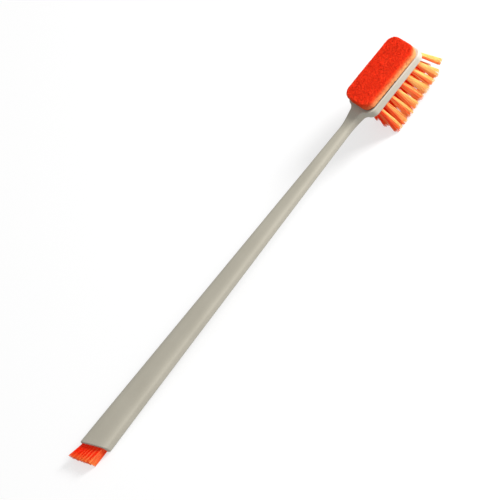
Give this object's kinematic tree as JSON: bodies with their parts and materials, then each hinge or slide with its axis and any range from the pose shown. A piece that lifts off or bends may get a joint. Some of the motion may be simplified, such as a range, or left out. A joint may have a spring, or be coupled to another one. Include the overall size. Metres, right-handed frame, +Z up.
{
  "type": "aquarium cleaning brush",
  "caption": "Long tapering handle with an oval section, a head with a scrub pad on one face and bristle tufts on the other, and a short bristle strip in its slanted end.",
  "frame": {"origin": "centre of the bounding box's base, on the surface that the brush lies on", "axes": "+X along the brush from the handle's slanted end to the head, +Z up, to the side with the scrub pad, +Y across the head"},
  "size_m": [0.3026, 0.0216, 0.0349],
  "materials": {
    "handle": "satin moulded plastic, warm grey",
    "pad": "non-woven abrasive fibre, red-orange",
    "adhesive": "dark brown adhesive film",
    "bristle": "translucent orange nylon filament",
    "anchor": "flat staple wire"
  },
  "bodies": {
    "root": {"handle": "handle", "scrub_pad": "pad", "pad_adhesive": "adhesive", "end_bristles": "bristle", "end_bristle_wire": "anchor", "tuft_right_1": "bristle", "tuft_right_2": "bristle", "tuft_right_3": "bristle", "tuft_right_4": "bristle", "tuft_right_5": "bristle", "tuft_right_6": "bristle", "tuft_right_7": "bristle", "tuft_right_8": "bristle", "tuft_middle_1": "bristle", "tuft_middle_2": "bristle", "tuft_middle_3": "bristle", "tuft_middle_4": "bristle", "tuft_middle_5": "bristle", "tuft_middle_6": "bristle", "tuft_middle_7": "bristle", "tuft_middle_8": "bristle", "tuft_left_1": "bristle", "tuft_left_2": "bristle", "tuft_left_3": "bristle", "tuft_left_4": "bristle", "tuft_left_5": "bristle", "tuft_left_6": "bristle", "tuft_left_7": "bristle", "tuft_left_8": "bristle", "tuft_tip": "bristle", "anchor_right_1": "anchor", "anchor_right_2": "anchor", "anchor_right_3": "anchor", "anchor_right_4": "anchor", "anchor_right_5": "anchor", "anchor_right_6": "anchor", "anchor_right_7": "anchor", "anchor_right_8": "anchor", "anchor_middle_1": "anchor", "anchor_middle_2": "anchor", "anchor_middle_3": "anchor", "anchor_middle_4": "anchor", "anchor_middle_5": "anchor", "anchor_middle_6": "anchor", "anchor_middle_7": "anchor", "anchor_middle_8": "anchor", "anchor_left_1": "anchor", "anchor_left_2": "anchor", "anchor_left_3": "anchor", "anchor_left_4": "anchor", "anchor_left_5": "anchor", "anchor_left_6": "anchor", "anchor_left_7": "anchor", "anchor_left_8": "anchor", "anchor_tip": "anchor"}
  },
  "joints": []
}
